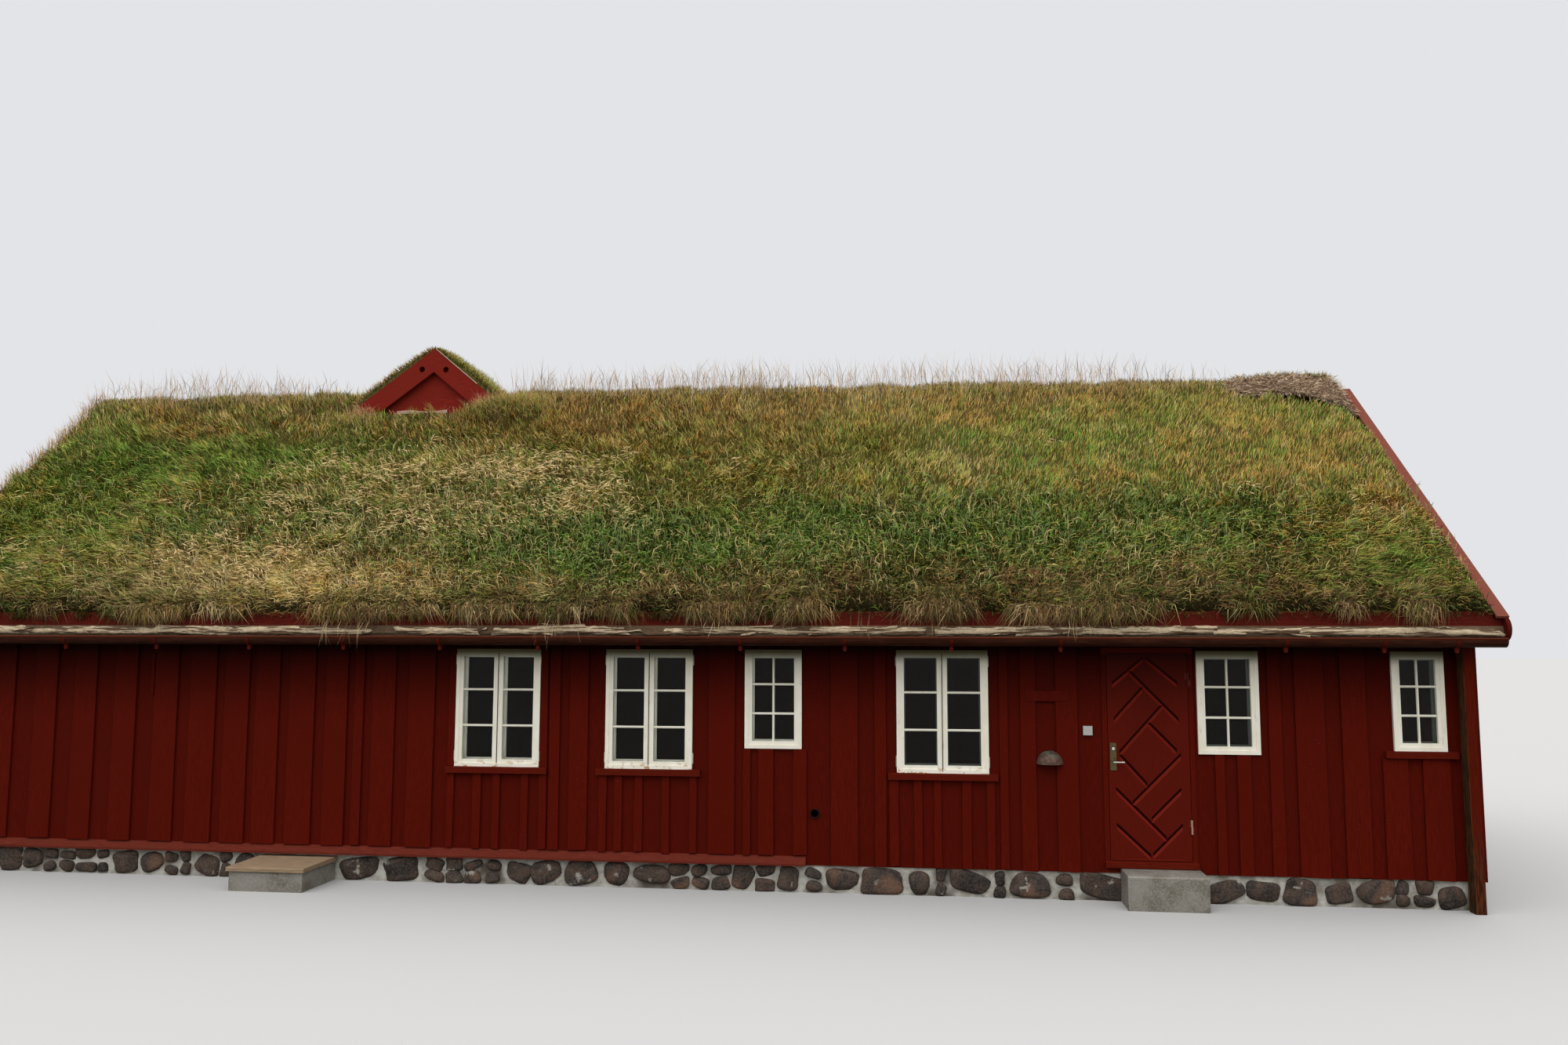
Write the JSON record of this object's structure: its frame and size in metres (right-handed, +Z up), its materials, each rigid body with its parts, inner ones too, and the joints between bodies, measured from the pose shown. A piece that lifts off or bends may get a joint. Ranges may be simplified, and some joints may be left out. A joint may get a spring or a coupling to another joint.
{
  "type": "turf house",
  "caption": "Long single-storey timber house with a turf roof on birch bark, red board walls on a rubble plinth, white windows and a door that opens outwards.",
  "frame": {"origin": "on the ground, in the middle of the whole outline", "axes": "+X along the front wall to the right, +Y from the front to the back, +Z up"},
  "size_m": [17.88, 8.2285, 6.7377],
  "materials": {
    "rubble_stone": "matte",
    "concrete": "matte",
    "weathered_timber": "matte",
    "timber": "matte",
    "red_boards": "satin",
    "red_trim": "satin",
    "white_paint": "satin",
    "window_glass": "gloss",
    "red_door_paint": "satin",
    "steel": "satin",
    "lock_brass": "satin",
    "birch_bark": "matte",
    "turf": "matte",
    "gutter_paint": "satin",
    "lamp_copper": "satin",
    "pale_plastic": "matte",
    "vent_black": "matte"
  },
  "bodies": {
    "house": {"plinth_long_walls": "rubble_stone", "plinth_gable_walls": "rubble_stone", "floor": "timber", "door_step": "concrete", "hatch_curb": "concrete", "hatch_lid": "weathered_timber", "front_wall_left": "red_boards", "front_wall_over_door": "red_boards", "front_wall_right": "red_boards", "back_wall": "red_boards", "left_gable_wall": "red_boards", "right_gable_wall": "red_boards", "corner_boards": "red_boards", "corner_posts": "red_boards", "base_boards": "red_trim", "front_windows": "white_paint", "back_windows": "white_paint", "gable_windows": "white_paint", "window_glass": "window_glass", "window_sills": "red_boards", "door_jambs": "red_boards", "door_head": "red_boards", "threshold": "red_boards", "frame_hinges": "steel", "ledgers": "timber", "tie_beams": "timber", "rafters": "timber", "roof_deck_front": "timber", "roof_deck_back": "timber", "birch_bark_front": "birch_bark", "birch_bark_back": "birch_bark", "turf_front": "turf", "turf_back": "turf", "turf_boards": "red_boards", "gutter_front": "gutter_paint", "gutter_back": "gutter_paint", "gutter_hooks": "gutter_paint", "barge_boards": "red_boards", "verge_caps": "red_trim", "gablet_walls": "red_boards", "gablet_deck": "timber", "gablet_barge_boards": "red_boards", "gablet_turf": "turf", "wall_lamp": "lamp_copper", "bell_box": "pale_plastic", "name_board": "red_boards", "vent_sleeve": "vent_black"},
    "door": {"door_leaf": "red_door_paint", "leaf_hinges": "steel", "lock_plates": "lock_brass"},
    "lever": {"lever_handles": "steel"}
  },
  "joints": [
    {"name": "door_hinge", "type": "hinge", "parent": "house", "child": "door", "pos_m": [6.0025, -3.43825, 1.4], "axis": [0, 0, 1], "range_deg": [0, 100]},
    {"name": "lever_turn", "type": "hinge", "parent": "door", "child": "lever", "pos_m": [5.245, -3.40425, 1.387], "axis": [0, 1, 0], "range_deg": [0, 45], "stiffness_Nm_per_rad": 2, "springref_deg": -17.19}
  ]
}
